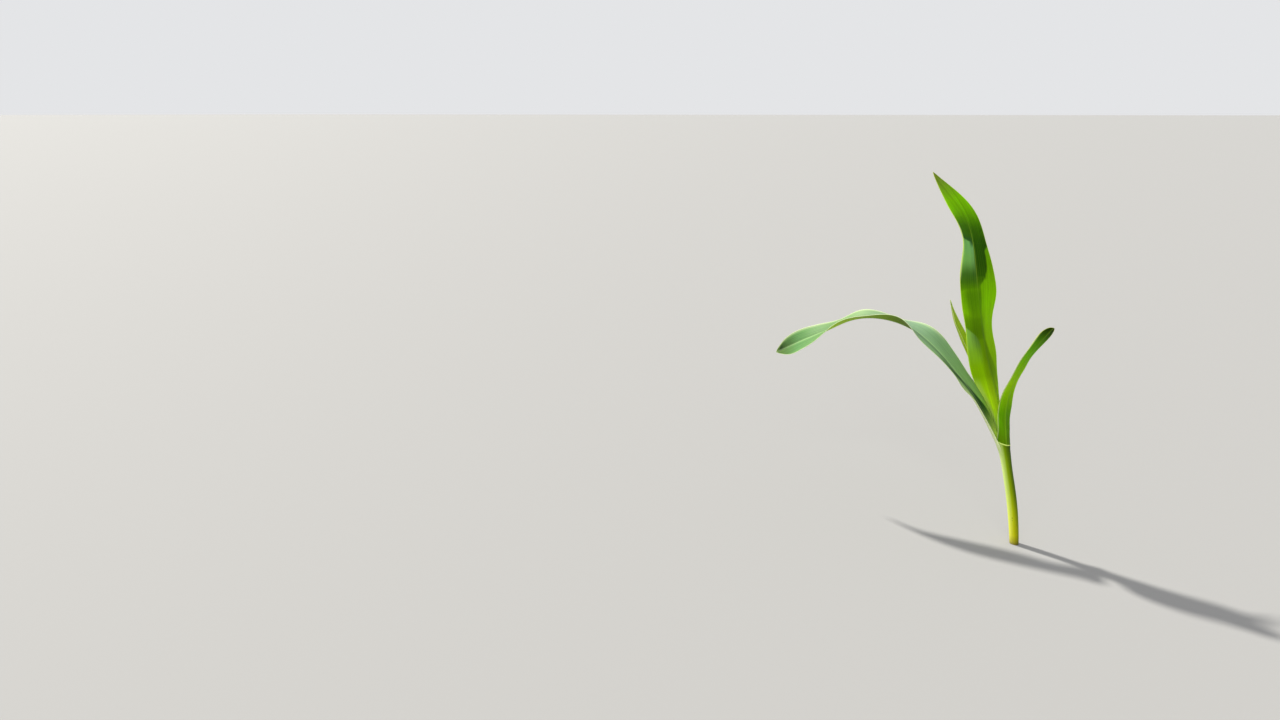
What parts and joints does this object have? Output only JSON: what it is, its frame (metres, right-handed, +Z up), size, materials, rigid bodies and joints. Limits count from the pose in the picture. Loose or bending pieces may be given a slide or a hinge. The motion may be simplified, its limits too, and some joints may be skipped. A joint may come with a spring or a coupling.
{
  "type": "young maize plant",
  "caption": "Young maize seedling: a leaning pale sheathed stem that forks into a short blunt leaf, a long arching leaf, a tall upright leaf and a narrow folded young leaf.",
  "frame": {"origin": "middle of the stem's flat cut at ground level", "axes": "+Z up from level ground, +X to the right and +Y away from the side that the picture shows"},
  "size_m": [0.14, 0.0462, 0.1797],
  "materials": {
    "stem": "smooth fine-ribbed leaf sheath, yellow at the ground and pale green at the collar",
    "leaf": "thin translucent yellow-green blade with fine lengthwise veins and pale margins",
    "bluish_leaf": "matt bluish-green upper face with a light midrib, yellow-green under face",
    "young_leaf": "soft light green folded blade with pale margins"
  },
  "bodies": {
    "root": {"stem": "stem", "leaf_1": "leaf", "leaf_2_rising": "bluish_leaf", "leaf_2_shoulder": "bluish_leaf", "leaf_2_arch": "bluish_leaf", "leaf_2_drooping": "bluish_leaf", "leaf_3_lower": "leaf", "leaf_3_upper": "leaf", "leaf_4": "young_leaf"}
  },
  "joints": []
}
